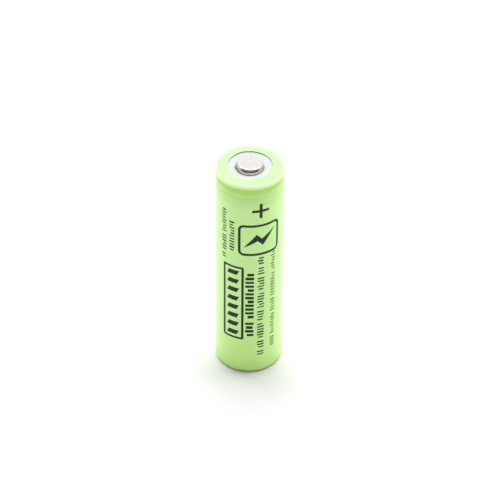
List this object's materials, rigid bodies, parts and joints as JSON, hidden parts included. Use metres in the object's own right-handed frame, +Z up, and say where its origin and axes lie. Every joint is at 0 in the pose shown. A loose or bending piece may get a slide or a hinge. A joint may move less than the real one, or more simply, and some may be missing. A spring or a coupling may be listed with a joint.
{
  "type": "cylindrical battery cell",
  "caption": "Button-top cylindrical lithium-ion battery cell in a green shrink sleeve, with a white washer round its positive button.",
  "frame": {"origin": "middle of the base, on the cell's axis, at the level of the sleeve's lower lip, on which the cell stands", "axes": "+Z up the cell's axis, from the negative base to the positive button; +X and +Y are square to it, with the front of the print towards -Y"},
  "size_m": [0.014, 0.014, 0.0509],
  "materials": {
    "sleeve_film": "satin",
    "white_fibre": "matte",
    "nickel_plate": "gloss",
    "gasket_plastic": "satin",
    "ptc_composite": "matte",
    "aluminium_sheet": "satin",
    "aluminium_foil": "gloss",
    "insulator_plastic": "satin",
    "copper_foil": "satin",
    "nickel_strip": "satin",
    "cathode_powder": "matte",
    "anode_graphite": "matte",
    "separator_film": "satin",
    "polyimide_tape": "satin",
    "roll_tape_film": "gloss"
  },
  "bodies": {
    "root": {"shrink_sleeve": "sleeve_film", "terminal_washer": "white_fibre", "positive_cap": "nickel_plate", "can": "nickel_plate", "crimp_gasket": "gasket_plastic", "ptc_ring": "ptc_composite", "vent_disc": "aluminium_sheet", "disc_insulator": "insulator_plastic", "contact_disc": "aluminium_sheet", "upper_insulator": "insulator_plastic", "positive_tab": "aluminium_sheet", "positive_tab_tape": "polyimide_tape", "cathode_foil": "aluminium_foil", "cathode_coating_inner": "cathode_powder", "cathode_coating_outer": "cathode_powder", "separator_inner": "separator_film", "separator_outer": "separator_film", "anode_foil": "copper_foil", "anode_coating_inner": "anode_graphite", "anode_coating_outer": "anode_graphite", "roll_end_tape": "roll_tape_film", "negative_tab": "nickel_strip", "negative_tab_tape": "polyimide_tape", "lower_insulator": "insulator_plastic"}
  },
  "joints": []
}
